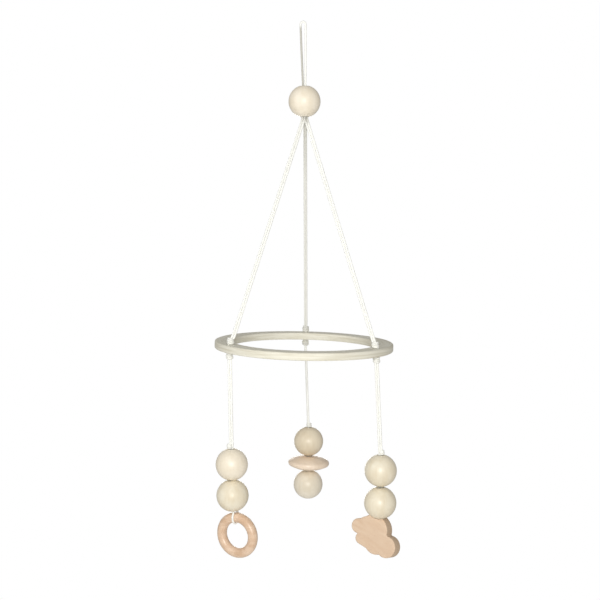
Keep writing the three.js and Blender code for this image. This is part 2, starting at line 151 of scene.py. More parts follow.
def skinned(name, grid, finish, closed_rows=False, sharp=math.pi, **shades):
    """A closed skin over a grid of points, rows by columns. Each row closes on itself. The rows
    close on each other if closed_rows, and otherwise a face closes the first and the last row.
    Each of the shades is kept as an attribute of the points."""
    rows, columns = grid.shape[:2]
    index = np.arange(rows * columns).reshape(rows, columns)
    here = index if closed_rows else index[:-1]
    beyond = np.roll(index, -1, axis=0) if closed_rows else index[1:]
    quads = [here, np.roll(here, -1, 1), np.roll(beyond, -1, 1), beyond]
    faces = np.stack(quads, axis=-1).reshape(-1, 4).tolist()
    if not closed_rows:
        faces += [index[0, ::-1].tolist(), index[-1].tolist()]
    mesh = bpy.data.meshes.new(name)
    mesh.from_pydata(grid.reshape(-1, 3).tolist(), [], faces)
    mesh.shade_smooth()
    mesh.set_sharp_from_angle(angle=sharp)
    for key, values in shades.items():
        mesh.attributes.new(key, "FLOAT", "POINT").data.foreach_set("value", np.ravel(values))
    mesh.materials.append(finish)
    piece = bpy.data.objects.new(name, mesh)
    bpy.context.collection.objects.link(piece)
    if signed_volume(grid, closed_rows) < 0:
        mesh.flip_normals()
    return piece


def signed_volume(grid, closed_rows):
    """Six times the volume inside a grid's skin, negative where its faces point inwards: the sum,
    over all its quads, of the middle times the cross product of the two diagonals."""
    near = grid if closed_rows else grid[:-1]
    far = np.roll(grid, -1, axis=0) if closed_rows else grid[1:]
    near_next, far_next = np.roll(near, -1, 1), np.roll(far, -1, 1)
    centre = grid.reshape(-1, 3).mean(axis=0)
    middle = (near + near_next + far + far_next) / 4 - centre
    return np.sum(middle * np.cross(far_next - near, far - near_next))


# Waxed cotton, laid in three plies. The wax fills the fuzz, so it has a soft dull shine. The
# grooves between the plies are painted a little greyer, as painted shade, and the stretches that
# lie in shade are painted grey, as painted shade too.
waxed_cotton, tree, surface = finish_of("waxed cotton cord", Roughness=0.55, IOR=1.47,
                                        Sheen_Weight=0.15)
groove = node(tree, "Attribute", attribute_name="groove")
place = node(tree, "TexCoord")
YARN = 0.25 * MM             # width of one yarn; its mottling is drawn four times coarser, to show
mottle = node(tree, "TexNoise", {"Vector": place.outputs["Object"], "Scale": 1 / YARN / 4})
# Painted shade: the grooves between the plies are painted a little greyer.
shade = node(tree, "Mix", {"Factor": groove.outputs["Fac"], "A": paint("#F9FAF6"),
                           "B": paint("#F3F3EF")}, data_type="RGBA")
# Painted shade: the attribute called rubbed holds how grey the cord is painted where it lies in
# shade.
rubbed = node(tree, "Attribute", attribute_name="rubbed")
greyer = node(tree, "Mix", {"Factor": rubbed.outputs["Fac"], "A": shade.outputs["Result"],
                            "B": paint("#A5A296")}, data_type="RGBA")
tree.links.new(greyer.outputs["Result"], surface.inputs["Base Color"])
bump = node(tree, "Bump", {"Height": mottle.outputs["Fac"], "Strength": 0.1, "Distance": YARN / 2})
tree.links.new(bump.outputs["Normal"], surface.inputs["Normal"])

crown_turn = np.linspace(0, np.pi, 13)
crown_low = CORD_D / 2 - LOOP_CROWN_H
crown = np.stack([LOOP_HALF * np.cos(crown_turn), 0 * crown_turn,
                  crown_low + LOOP_CROWN_H * np.sin(crown_turn)], axis=1)
neck = TOP_BALL_Z + BALL_D / 2 + 1 * MM
# Points up the right leg: straight in the ball, then opening slowly to the width of the crown.
leg = np.array([[LOOP_GRIP, 0, TOP_BALL_Z + 3 * MM], [LOOP_GRIP, 0, neck],
                [1.4 * MM, 0, neck + 10 * MM], [2 * MM, 0, crown_low - 22 * MM]])
loop_corners = np.concatenate([leg, crown, leg[::-1] * (-1, 1, 1)])
loop_path = rounded_route(loop_corners, LOOP_ROUNDING)
loop_rings, loop_groove = cord_skin(loop_path, (0, 1, 0))
# The left leg is painted grey under the crown: painted shade.
left_leg_shade = np.clip((crown_low - loop_path[:, 2]) / LOOP_SHADE_FADE, 0, 1) * (loop_path[:, 0] < 0)
loop = skinned("hanging_loop_cord", loop_rings, waxed_cotton, groove=loop_groove,
               rubbed=np.repeat(LOOP_LEG_SHADE * left_leg_shade, CORD_SIDES))
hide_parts("hanging_loop")
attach(loop, "root")


# --- Doubled cords ---------------------------------------------------------------------------
# Two strands of the same cotton carry each pendant, side by side, and are tied inside the top
# ball. On the left they are the halves of one cord, and elsewhere two cords knotted together at
# the foot. Overhand knots hold them over and under the flat ring, and over the first ball.
TWIN_PITCH = 2.1 * MM        # from the middle of one strand to the middle of the other
KNOT_W = 7 * MM              # the knots over and under the ring
KNOT_H = 6.4 * MM
TOP_KNOT_W = 5.4 * MM        # the knot over a pendant's first ball
TOP_KNOT_H = 5.2 * MM
END_KNOT_W = 7.6 * MM        # the knot at a pendant's foot
END_KNOT_H = 7 * MM
KNOT_CORD_D = 1.15 * CORD_D  # drawn thicker, so its turns press together as tight cord does
KNOT_ROUNDING = 1.6 * MM
STRAND_ROUNDING = 4 * MM
SEAT_GAP = 0.35 * MM         # what a knot stands clear of the wood
START_TO_MOUTH = 14.5 * MM   # and to where it turns towards the ring
RING_T = 7 * MM
RING_LEAN = math.radians(2.4)
RING_UP = np.array([math.sin(RING_LEAN), 0, math.cos(RING_LEAN)])
RING_HOLES = {"left": np.array([-73.34, -37.22, -299.03]) * MM,
              "back": np.array([-2.81, 77.97, -301.99]) * MM,
              "right": np.array([61.6, -40.75, -304.68]) * MM}
RING_LEVEL = max(hole[2] for hole in RING_HOLES.values())
BORE_SHADE = 0.9              # painted shade: how grey a strand is in the bores
MOUTH_SHADE = 0.6             # painted shade at the mouth of the top ball too
MOUTH_SHADE_REACH = 8 * MM
TOP_KNOT_SHADE = 0.4          # share of a pair's painted knot shade on the knot over the ball
# How many times its own painted shade a strand has over the ring, at three depths under the
# middle of the top ball.
SHADE_DEPTHS = np.array([30, 75, 225]) * MM
SHADE_TIMES = [2, 1, 0.6]
UP = np.array([0.0, 0, 1])


def knot(name, centre, axis, width, height, painted_grey):
    """An overhand knot pulled tight round the pair, as one closed run of cord: two and a third
    turns down round the axis, fullest in the middle, then a rising turn over them that tucks in
    at the top. Angle, height and distance from the axis each go straight from one named share of
    the run to the next. Painted shade greys it evenly, by the share given last."""
    share = np.linspace(0, 1, 300)
    marks = [0, 0.08, 0.4, 0.7, 0.78, 0.94, 1]
    angle = 2 * np.pi * np.interp(share, marks, [0, 0.1, 1.2, 2.35, 2.5, 2.85, 3])
    rise = (height - CORD_D) / 2 * np.interp(share, marks, [0.6, 1, 0, -1, -0.9, 0.7, 0.5])
    away = (width - CORD_D) / 2 * np.interp(share, marks, [0.5, 0.8, 1, 0.8, 0.95, 1, 0.5])
    side = np.cross(axis, (0.3, 1, 0))
    side /= np.linalg.norm(side)
    front = np.cross(axis, side)
    run = centre + (away * np.cos(angle))[:, None] * side + (away * np.sin(angle))[:, None] * front
    run = run + rise[:, None] * axis
    rings, groove = cord_skin(rounded_route(run, KNOT_ROUNDING), axis, KNOT_CORD_D)
    made = skinned(name, rings, waxed_cotton, groove=groove, rubbed=np.full(groove.size, painted_grey))
    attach(made, "root")
    return made


def strands(spine, across):
    """The two strands on either side of a spine. Each point of the spine is moved half the pitch
    to one side and to the other, square to the run and to `across`. That may turn on the way."""
    sides = np.cross(np.gradient(spine, axis=0), across)
    sides *= TWIN_PITCH / 2 / np.linalg.norm(sides, axis=1, keepdims=True)
    return spine - sides, spine + sides


def hang(name, corners, node_name, bores, painted_grey):
    """One cord from inside the top ball down through its pieces: a piece of cotton that stands
    for its CAD node. Painted shade greys it between the two heights of `bores` and just under
    the top ball. Over the ring painted shade greys it by the share given last, more near the
    ball than low down. Each point takes the greatest of the three."""
    path = rounded_route(corners, STRAND_ROUNDING)
    rings, groove = cord_skin(path, (0, 1, 0))
    height = path[:, 2]
    # Painted shade in the bores, which shows in the gaps between the balls.
    in_bores = BORE_SHADE * ((height < bores[0]) & (height > bores[1]))
    # Painted shade just under the top ball, where the pairs shade each other.
    over_mouth = height - TOP_BALL_Z + BALL_D / 2
    at_mouth = MOUTH_SHADE * np.clip(over_mouth / MOUTH_SHADE_REACH + 1, 0, 1)
    # Painted shade over the ring, deeper near the top ball.
    times = np.interp(TOP_BALL_Z - height, SHADE_DEPTHS, SHADE_TIMES)
    over_ring = painted_grey * times * (height > RING_LEVEL)
    rubbed = np.maximum.reduce([in_bores, at_mouth, over_ring])
    made = skinned(name, rings, waxed_cotton, groove=groove, rubbed=np.repeat(rubbed, CORD_SIDES))
    if node_name:
        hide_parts(node_name)
    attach(made, "root")


def tied(side, start, knot_pull, line_pull, below, bulge, painted_grey):
    """A pair's spine, in metres, and its three knots, from sizes in mm. The spine starts in the
    top ball at `start`. It meets the knot over the ring `line_pull` to the side of the hole, and
    the pull has moved that knot by `knot_pull`. It goes through the hole and the knot under the
    ring, and on through the points `below`. The first of them is in the knot over the ball, which
    bulges to the side by `bulge`. Painted shade greys the knots by the share given last, the one
    over the ball less."""
    hole = RING_HOLES[side]
    away = (RING_T / 2 + SEAT_GAP + KNOT_H / 2) * RING_UP
    start = np.array(start) * MM
    mouth = start - START_TO_MOUTH * UP
    above = hole + away + (knot_pull * MM, 0, 0)
    entry = hole + away + KNOT_H / 2 * RING_UP + (line_pull * MM, 0, 0)
    throat = hole + (RING_T / 2 + SEAT_GAP) * RING_UP
    below = np.array(below) * MM
    over_ball = below[0] + (bulge * MM, 0, 0)
    knots = [knot(side + "_knot_over_ring", above, RING_UP, KNOT_W, KNOT_H, painted_grey),
             knot(side + "_knot_under_ring", hole - away, RING_UP, KNOT_W, KNOT_H, painted_grey),
             knot(side + "_knot_over_ball", over_ball, UP, TOP_KNOT_W, TOP_KNOT_H,
                  TOP_KNOT_SHADE * painted_grey)]
    return np.concatenate([[start, mouth, entry, above, throat, hole - away], below]), knots


# The left cord's fold goes round the small ring, which hangs on it: down in front and up behind.
SMALL_RING_YAW = math.radians(-29)
SMALL_RING_TUBE_D = 9.2 * MM
FOLD_GAP = 0.15 * MM         # what the fold stands clear of the ring
FOLD_SHIFT = 0.7 * MM        # how far the fold has slid along the ring
LEFT_BORES = (-393 * MM, -450.5 * MM)
ring_front = np.array([math.sin(SMALL_RING_YAW), -math.cos(SMALL_RING_YAW), 0])
ring_along = np.array([math.cos(SMALL_RING_YAW), math.sin(SMALL_RING_YAW), 0])
bearing = np.array([-72.2, -37.05, -457.72]) * MM + FOLD_SHIFT * ring_along
fold_r = SMALL_RING_TUBE_D / 2 + CORD_D / 2 + FOLD_GAP
fold_turn = np.radians(np.linspace(50, -230, 25))[:, None]
small_ring_fold = bearing + fold_r * (np.cos(fold_turn) * ring_front + np.sin(fold_turn) * UP)
left_spine, left_knots = tied("left", (-1, -2, -73.4), knot_pull=0.5, line_pull=3.1, below=[
    (-74.04, -37.22, -390.25), (-74.04, -37.22, -421), (-75.2, -37.22, -423.45),
    (-72.87, -37.22, -450.35)], bulge=-1.6, painted_grey=0.18)
left_down, left_up = strands(left_spine, (0, 1, 0))
left_corners = np.concatenate([left_down, small_ring_fold, left_up[::-1]])
hang("left_cord_cotton", left_corners, "left_cord", LEFT_BORES, painted_grey=0.05)

# The back pair hangs half turned, with its left strand behind. From the ring down it is turned
# further, so one strand nearly hides the other. It ends in a knot in a recess under the lowest
# ball. It hangs in shadow between the other two pairs, so it is painted greyer: painted shade.
BACK_BORES = (-397.5 * MM, -470 * MM)
BACK_SHADE = 0.3
OVER_RING_POINTS = 4         # how many points of the spine are over the ring
back_end = np.array([-3.11, 77.97, -466.16])
back_spine, back_knots = tied("back", (0.3, 2.6, -73.4), knot_pull=0, line_pull=0, below=[
    (-1.71, 77.97, -394.75), (-1.71, 77.97, -412), (-3.11, 77.97, -442), back_end - UP],
    bulge=0.7, painted_grey=0.4)
back_knots.append(knot("back_end_knot", back_end * MM, UP, END_KNOT_W, END_KNOT_H, painted_grey=0))
back_across = np.array([(0.72, 0.69, 0)] * OVER_RING_POINTS
                       + [(0.96, 0.28, 0)] * (len(back_spine) - OVER_RING_POINTS))
back_left, back_right = strands(back_spine, back_across)
hang("back_cord_cotton", back_left, "back_cord", BACK_BORES,
     painted_grey=BACK_SHADE)
hang("back_cord_second_cotton", back_right, None, BACK_BORES, painted_grey=BACK_SHADE)

# The right pair bends at the cloud's crown, follows the cloud's slanting bore, and ends in a knot
# in a recess in its base.
RIGHT_BORES = (-400.8 * MM, -480 * MM)
cloud_down = np.array([-0.4069, 0.0252, -0.9131])
cloud_down /= np.linalg.norm(cloud_down)
cloud_end = np.array([53.93, -40.14, -483.94])
right_spine, right_knots = tied("right", (0.9, 0.3, -73.4), knot_pull=-1.5, line_pull=-3.1, below=[
    (63.8, -40.75, -397.95), (63.8, -40.75, -415.2), (63, -40.75, -445.6),
    (63.8, -40.75, -461.8), cloud_end + cloud_down], bulge=1.2, painted_grey=0.1)
right_knots.append(
    knot("right_end_knot", cloud_end * MM, -cloud_down, END_KNOT_W, END_KNOT_H, painted_grey=0))
right_left, right_right = strands(right_spine, (0, 1, 0))
hang("right_cord_cotton", right_left, "right_cord", RIGHT_BORES, painted_grey=0)
hang("right_cord_second_cotton", right_right, None, RIGHT_BORES, painted_grey=0)

# --- Turned balls ----------------------------------------------------------------------------
# Seven beech balls, turned, bored right through along the grain, eased at the mouths, and sprayed
# with satin lacquer in four pale shades. The lowest one at the back hides an end knot.
BALL_BORE = 6.5 * MM
TOP_BALL_BORE = 9 * MM
BALL_MOUTH = 0.9 * MM        # how much wider the eased mouth is than the bore
KNOT_RECESS_D = 9 * MM
KNOT_RECESS_H = 9 * MM
RECESS_BEVEL = 0.4 * MM


def turned(name, profile, centre, finish, lean=0.0, columns=96):
    """A closed outline of radius and height turned about a vertical axis through `centre`: each
    point goes round a circle of its radius. The axis then leans to the right by `lean`."""
    profile = np.asarray(profile)
    turn = np.linspace(0, 2 * np.pi, columns, endpoint=False)[None, :]
    radius, height = profile[:, :1], profile[:, 1:]
    grid = np.stack([radius * np.cos(turn), radius * np.sin(turn), height + 0 * turn], axis=-1)
    grid = grid @ np.array(Matrix.Rotation(lean, 3, "Y")).T + np.asarray(centre)
    made = skinned(name, grid, finish, closed_rows=True, sharp=math.radians(40))
    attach(made, "root")
    return made


def bow(middle, radius, start, end, count):
    """Points on an arc of an outline from one angle to another, angles from the equator."""
    angle = np.linspace(start, end, count)[:, None]
    return np.asarray(middle) + radius * np.concatenate([np.cos(angle), np.sin(angle)], axis=1)


def eased(mouth_radius, mouth_height, bore, upwards):
    """The eased lip of a bore: a quarter round from the outside in to the bore's wall."""
    reach = mouth_radius - bore / 2
    centre = (mouth_radius, mouth_height - upwards * reach)
    turns = np.radians(np.linspace(100, 180, 6))[:, None]
    lip = np.concatenate([np.cos(turns), upwards * np.sin(turns)], axis=1) * reach
    return np.asarray(centre) + lip


def ball_profile(bore, recessed=False):
    """The outline of a bored ball, upwards outside and back down its bore: the arc between the
    two mouths, the upper lip, the wall, and the lower lip or the recess for a knot."""
    r = BALL_D / 2
    mouth = (bore + BALL_MOUTH) / 2
    top = math.acos(mouth / r)
    upper = eased(mouth, r * math.sin(top), bore, 1)
    if not recessed:
        lower = eased(mouth, -r * math.sin(top), bore, -1)[::-1]
        return np.concatenate([bow((0, 0), r, -top, top, 48), upper, lower])
    wide = KNOT_RECESS_D / 2
    low = -math.acos(wide / r)
    ceiling = r * math.sin(low) + KNOT_RECESS_H
    steps = [(bore / 2, ceiling), (wide - RECESS_BEVEL, ceiling), (wide, ceiling - RECESS_BEVEL)]
    return np.concatenate([bow((0, 0), r, low, top, 48), upper, steps])


# Satin lacquer over beech. The coat is thin, so faint darker streaks of grain, 2 to 4 mm apart
# and 15 to 30 mm long, still show through it, and it shines softly.
GRAIN_WIDTH = 2 * MM
GRAIN_LENGTH = 15 * MM
PATCH = 14.2857 * MM         # width of one of the soft patches where the coat is thicker


def lacquered(shade_name, pale, deep):
    """Satin lacquer in one shade, from its palest colour to its deepest."""
    made, tree, surface = finish_of("satin lacquer on turned beech, " + shade_name,
                                    Roughness=0.48, IOR=1.5, Coat_Weight=0.26, Coat_Roughness=0.24)
    place = node(tree, "TexCoord")
    stretched = node(tree, "Mapping", {"Vector": place.outputs["Object"], "Scale": (
        1 / GRAIN_WIDTH, 1 / GRAIN_WIDTH, 1 / GRAIN_LENGTH)})
    streaks = node(tree, "TexNoise", {"Vector": stretched.outputs["Vector"], "Scale": 0.5,
                                      "Detail": 4.0, "Roughness": 0.6, "Distortion": 0.3})
    patches = node(tree, "TexNoise", {"Vector": place.outputs["Object"], "Scale": 1 / PATCH,
                                      "Detail": 1.0})
    both = node(tree, "Math", {0: streaks.outputs["Fac"], 1: patches.outputs["Fac"]},
                operation="ADD")
    share = node(tree, "MapRange", {"Value": both.outputs["Value"], "From Min": 0.75,
                                    "From Max": 1.25})
    mixed = node(tree, "Mix", {"Factor": share.outputs["Result"], "A": paint(pale),
                               "B": paint(deep)}, data_type="RGBA")
    tree.links.new(mixed.outputs["Result"], surface.inputs["Base Color"])
    fine = node(tree, "TexNoise", {"Vector": stretched.outputs["Vector"], "Scale": 2.0,
                                   "Detail": 3.0})
    relief = node(tree, "Bump", {"Height": fine.outputs["Fac"], "Strength": 0.12,
                                 "Distance": 0.2 * MM})
    tree.links.new(relief.outputs["Normal"], surface.inputs["Normal"])
    return made


ivory = lacquered("ivory", "#F4EBDA", "#ECE1CC")
cream = lacquered("cream", "#EDE5D1", "#E3D7BE")
oat = lacquered("oat", "#EAE2D2", "#DFD5C1")
sand = lacquered("sand", "#E5D9C2", "#D9CBB2")

LEFT_LOWER_LEAN = math.radians(-5)         # the cord leaves it aslant, towards the small ring
# Each ball: its slot, its shade, its bore, whether it has a recess, the height of its middle and
# its lean.
BALLS = {
    "top_ball": ("cream_lacquer", ivory, TOP_BALL_BORE, False, TOP_BALL_Z, 0.0),
    "left_upper_ball": ("cream_lacquer", ivory, BALL_BORE, False, -407.5 * MM, 0.0),
    "left_lower_ball": ("cream_lacquer", cream, BALL_BORE, False, -436.9 * MM, LEFT_LOWER_LEAN),
    "back_upper_ball": ("sand_lacquer", sand, BALL_BORE, False, -412 * MM, 0.0),
    "back_lower_ball": ("cream_lacquer", oat, BALL_BORE, True, -457 * MM, 0.0),
    "right_upper_ball": ("cream_lacquer", cream, BALL_BORE, False, -415.2 * MM, 0.0),
    "right_lower_ball": ("cream_lacquer", cream, BALL_BORE, False, -445.6 * MM, 0.0),
}
for ball, (slot_name, shade_of_ball, bore, recessed, height, lean) in BALLS.items():
    low_corner, high_corner = np.array(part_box(ball))
    middle = (low_corner + high_corner) / 2
    middle[2] = height
    ball_outline = ball_profile(bore, recessed)
    turned_ball = turned(ball + "_turned", ball_outline, middle, shade_of_ball, lean)
    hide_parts(ball)

# --- Saucer ----------------------------------------------------------------------------------
# A wooden lens between the two back balls: two shallow domes that meet in a rounded rim, turned
# in one piece and lacquered a little pinker than the balls. It hangs a little out of level.
SAUCER_D = 48 * MM
SAUCER_T = 14.8 * MM
SAUCER_RIM_R = 3 * MM
SAUCER_LEAN = math.radians(3.4)
SAUCER_AT = (-2.11 * MM, 77.97 * MM, -434.6 * MM)
SAUCER_MOUTH = 0.5 * MM      # the bevel at each end of its bore

half = SAUCER_D / 2
dome_r = (half ** 2 + SAUCER_T ** 2 / 4) / SAUCER_T
dome_z = dome_r - SAUCER_T / 2
rim_x = math.sqrt((dome_r - SAUCER_RIM_R) ** 2 - dome_z ** 2)
rim_angle = math.atan2(dome_z, rim_x)
bore_angle = math.acos((BALL_BORE / 2 + SAUCER_MOUTH) / dome_r)
bore_z = dome_r * math.sin(bore_angle) - dome_z - SAUCER_MOUTH
saucer_profile = np.concatenate([
    bow((0, dome_z), dome_r, -bore_angle, -rim_angle, 24),
    bow((rim_x, 0), SAUCER_RIM_R, -rim_angle, rim_angle, 16)[1:-1],
    bow((0, -dome_z), dome_r, rim_angle, bore_angle, 24),
    [(BALL_BORE / 2, bore_z), (BALL_BORE / 2, -bore_z)]])
wheat = lacquered("wheat", "#F3E1CD", "#E8D4BE")
saucer = turned("saucer_turned", saucer_profile, SAUCER_AT, wheat, SAUCER_LEAN)
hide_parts("saucer")

# --- Flat ring -------------------------------------------------------------------------------
# A flat beech hoop, 170 mm across, with rounded edges and three drilled holes. It is washed with
# thin white, so the growth lines that follow the hoop still show. It hangs two degrees low at the
# right.
RING_OUTER_R = 85 * MM
RING_INNER_R = 68.5 * MM
RING_EDGE_R = 1.3 * MM
RING_HOLE_D = 5.5 * MM
RING_CENTRE = np.array([-4.85, 0, -301.9]) * MM


def carve(piece, cutters):
    """Cuts other closed pieces out of this one, keeps the result as its mesh and deletes the
    cutters."""
    for cutter in cutters:
        cutting = piece.modifiers.new("cut", "BOOLEAN")
        cutting.operation = "DIFFERENCE"
        cutting.solver = "EXACT"
        cutting.object = cutter
    bpy.context.view_layer.update()
    seen = piece.evaluated_get(bpy.context.evaluated_depsgraph_get())
    carved = bpy.data.meshes.new_from_object(seen)
    piece.modifiers.clear()
    piece.data = carved
    for cutter in cutters:
        bpy.data.objects.remove(cutter)
    carved.shade_smooth()
    carved.set_sharp_from_angle(angle=math.radians(35))


def peg(centre, axis, start, end, radius, finish):
    """A round peg: a circle square to `axis`, from one height along it to another."""
    across = np.cross(axis, (0.2, 1, 0))
    across /= np.linalg.norm(across)
    beside = np.cross(axis, across)
    turn = np.linspace(0, 2 * np.pi, 48, endpoint=False)[:, None]
    circle = radius * (np.cos(turn) * across + np.sin(turn) * beside)
    grid = np.stack([centre + start * np.asarray(axis) + circle,
                     centre + end * np.asarray(axis) + circle])
    return skinned("peg", grid, finish)


def points_of(piece):
    """All of a mesh's points as an array of x, y, z."""
    flat = np.empty(len(piece.data.vertices) * 3)
    piece.data.vertices.foreach_get("co", flat)
    return flat.reshape(-1, 3)


def shade_by(piece, key, values):
    """Keeps a value or a direction for each of a mesh's points, for a material to read."""
    kind, slot = ("FLOAT_VECTOR", "vector") if np.ndim(values) == 2 else ("FLOAT", "value")
    kept = piece.data.attributes.new(key, kind, "POINT")
    kept.data.foreach_set(slot, np.ravel(values))


# Beech with a thin white wash, rubbed back: chalky, nearly matt, with fine fawn lines of grain
# about 1.5 mm apart where the wash was rubbed off.
washed, tree, surface = finish_of("white-washed beech, rubbed back", Roughness=0.55, IOR=1.48)
along_grain = node(tree, "Attribute", attribute_name="along_grain")
lines = node(tree, "TexNoise", {"Vector": along_grain.outputs["Vector"], "Scale": 1.0,
                                "Detail": 5.0, "Roughness": 0.55})
line_share = node(tree, "MapRange", {"Value": lines.outputs["Fac"], "From Min": 0.42,
                                     "From Max": 0.7})
wash = node(tree, "Mix", {"Factor": line_share.outputs["Result"], "A": paint("#EAE7D9"),
                          "B": paint("#D2CCB8")}, data_type="RGBA")
tree.links.new(wash.outputs["Result"], surface.inputs["Base Color"])
relief = node(tree, "Bump", {"Height": lines.outputs["Fac"], "Strength": 0.25,
                             "Distance": 0.3 * MM})
tree.links.new(relief.outputs["Normal"], surface.inputs["Normal"])

corner_x = (RING_INNER_R + RING_EDGE_R, RING_OUTER_R - RING_EDGE_R)
corner_z = RING_T / 2 - RING_EDGE_R
quarter = math.pi / 2
ring_profile = np.concatenate([
    bow((corner_x[1], -corner_z), RING_EDGE_R, -quarter, 0, 8),
    bow((corner_x[1], corner_z), RING_EDGE_R, 0, quarter, 8),
    bow((corner_x[0], corner_z), RING_EDGE_R, quarter, 2 * quarter, 8),
    bow((corner_x[0], -corner_z), RING_EDGE_R, 2 * quarter, 3 * quarter, 8)])
ring = turned("ring_hoop", ring_profile, RING_CENTRE, washed, RING_LEAN, columns=288)
carve(ring, [peg(hole, RING_UP, -RING_T, RING_T, RING_HOLE_D / 2, washed)
             for hole in RING_HOLES.values()])
# The lines are a pattern over the distance out and up, and over a circle that runs with the hoop.
GRAIN_APART = 1.5 * MM
GRAIN_CIRCLE = 2             # radius of that circle: the larger, the sooner a line changes
own = (points_of(ring) - RING_CENTRE) @ np.array(Matrix.Rotation(RING_LEAN, 3, "Y"))
round_it = np.arctan2(own[:, 1], own[:, 0])
outwards = (np.hypot(own[:, 0], own[:, 1]) + own[:, 2]) / GRAIN_APART
along_it = GRAIN_CIRCLE * np.stack([np.cos(round_it), np.sin(round_it)], axis=1)
shade_by(ring, "along_grain", np.column_stack([outwards, along_it]))
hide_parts("ring")

# --- Small ring ------------------------------------------------------------------------------
# A round-section beech ring, turned, sanded and oiled. Its grain runs straight through it, as in
# the board that it was turned from. The left cord passes through it.
SMALL_RING_D = 43 * MM
SMALL_RING_AT = np.array([-70.45, -38.02, -474.5]) * MM
BOARD_TURN = (0.0, math.radians(62), -SMALL_RING_YAW)     # how the board's grain lies in the ring
RING_BAND = np.array([30, 4, 4]) * MM      # length and widths of a soft band of its grain
RING_FLECK = np.array([3, 0.5, 0.5]) * MM

# Oiled beech: honey pink, with long soft bands of grain 4 to 5 mm apart, darker flecks 3 mm long,
# and a soft oily shine.
oiled, tree, surface = finish_of("oiled beech", Roughness=0.36, IOR=1.5, Coat_Weight=0.15,
                                 Coat_Roughness=0.25)
place = node(tree, "TexCoord")
board = node(tree, "Mapping", {"Vector": place.outputs["Object"], "Rotation": BOARD_TURN,
                               "Scale": 1 / RING_BAND})
bands = node(tree, "TexNoise", {"Vector": board.outputs["Vector"], "Scale": 0.8, "Detail": 3.0,
                                "Distortion": 0.4})
flecked = node(tree, "Mapping", {"Vector": place.outputs["Object"], "Rotation": BOARD_TURN,
                                 "Scale": 1 / RING_FLECK})
flecks = node(tree, "TexNoise", {"Vector": flecked.outputs["Vector"], "Scale": 1.0})
fleck_share = node(tree, "MapRange", {"Value": flecks.outputs["Fac"], "From Min": 0.6,
                                      "From Max": 0.75, "To Max": 0.45})
band_share = node(tree, "MapRange", {"Value": bands.outputs["Fac"], "From Min": 0.35,
                                     "From Max": 0.65})
honey = node(tree, "Mix", {"Factor": band_share.outputs["Result"], "A": paint("#E6CBB2"),
                           "B": paint("#D5B598")}, data_type="RGBA")
flecked_honey = node(tree, "Mix", {"Factor": fleck_share.outputs["Result"],
                                   "A": honey.outputs["Result"], "B": paint("#C19A75")},
                     data_type="RGBA")
tree.links.new(flecked_honey.outputs["Result"], surface.inputs["Base Color"])
relief = node(tree, "Bump", {"Height": flecks.outputs["Fac"], "Strength": 0.15,
                             "Distance": 0.2 * MM})
tree.links.new(relief.outputs["Normal"], surface.inputs["Normal"])

round_hoop = np.linspace(0, 2 * np.pi, 160, endpoint=False)[:, None, None]
round_tube = np.linspace(0, 2 * np.pi, 48, endpoint=False)[None, :, None]
tube_r = SMALL_RING_TUBE_D / 2
outward = np.cos(round_hoop) * ring_along + np.sin(round_hoop) * UP
small_ring_grid = SMALL_RING_AT + outward * (SMALL_RING_D / 2 - tube_r) + tube_r * (
    np.cos(round_tube) * outward + np.sin(round_tube) * ring_front)
small_ring = skinned("small_ring_turned", small_ring_grid, oiled, closed_rows=True)
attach(small_ring, "root")
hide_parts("small_ring")

# --- Cloud -----------------------------------------------------------------------------------
# A cloud sawn from a 12 mm beech board and sanded, with softened edges and no finish. A bore runs
# down through it to a recess for the end knot, and its crown is dished to seat the ball above.
CLOUD_T = 12 * MM
CLOUD_EDGE_R = 1.2 * MM
FACE_REACH = 0.7             # how far over the rounded edge a face's colour goes, as a share of it
CLOUD_BAND = np.array([28, 5, 5]) * MM     # length and widths of a soft band of its grain
CLOUD_FLECK = np.array([2.5, 0.6, 0.6]) * MM
END_GRAIN_AND_SHADE = 0.75             # how much brown the sawn edge shows: partly its own, partly painted shade
CLOUD_BORE_X = 14 * MM       # where the pair bends at the crown, along the base
CLOUD_BEND_Y = 29.4 * MM     # and above it
CLOUD_AT = np.array([63.8, -40.75, -461.8]) * MM      # that bend, where the cloud hangs
CLOUD_HEART = np.array([14, 11]) * MM      # every edge point is seen from here
SEATED_BALL_AT = np.array([63.01, -40.75, -445.6]) * MM
DISH_GAP = 0.2 * MM          # what the dish in the crown stands clear of the ball
# Each disc of the outline: its centre, along the base and above it, and its radius, in mm.
CLOUD_DISCS = np.array([(31, 10.8, 10), (13, 18.2, 14.6), (5.5, 17.4, 9.9), (-2.6, 14.4, 6.9),
                        (4.7, 5.4, 5.4), (19.8, 11, 12.6)]) * MM
CLOUD_YAW = math.radians(-32)              # its right end comes forward
CLOUD_LEAN = math.radians(-12)             # its crown goes back
CLOUD_TILT = math.radians(21)              # its right end hangs low

look = np.linspace(0, 2 * np.pi, 720, endpoint=False)
gaze = np.stack([np.cos(look), np.sin(look)], axis=1)
to_discs = CLOUD_DISCS[:, :2] - CLOUD_HEART
forward = gaze @ to_discs.T
inside = forward ** 2 - (to_discs ** 2).sum(axis=1) + CLOUD_DISCS[:, 2] ** 2
far_edge = np.where(inside > 0, forward + np.sqrt(np.maximum(inside, 0)), 0).max(axis=1)
# The base is sawn straight from under the lower left disc to the low swell, so there the edge is
# that line where it is further out than every disc.
swell_x, swell_y, swell_r = CLOUD_DISCS[5]
base_from, base_to = CLOUD_DISCS[4, 0], swell_x - math.sqrt(swell_r ** 2 - swell_y ** 2)
falling = gaze[:, 1] < -0.01               # the others never meet that line
to_base = -CLOUD_HEART[1] / np.where(falling, gaze[:, 1], -1)
base_x = CLOUD_HEART[0] + to_base * gaze[:, 0]
on_base = falling & (base_x > base_from) & (base_x < base_to)
reach = np.where(on_base, np.maximum(far_edge, to_base), far_edge)
smooth = np.ones(5) / 5
reach = np.convolve(np.concatenate([reach[-2:], reach, reach[:2]]), smooth, "valid")
outline = CLOUD_HEART + reach[:, None] * gaze
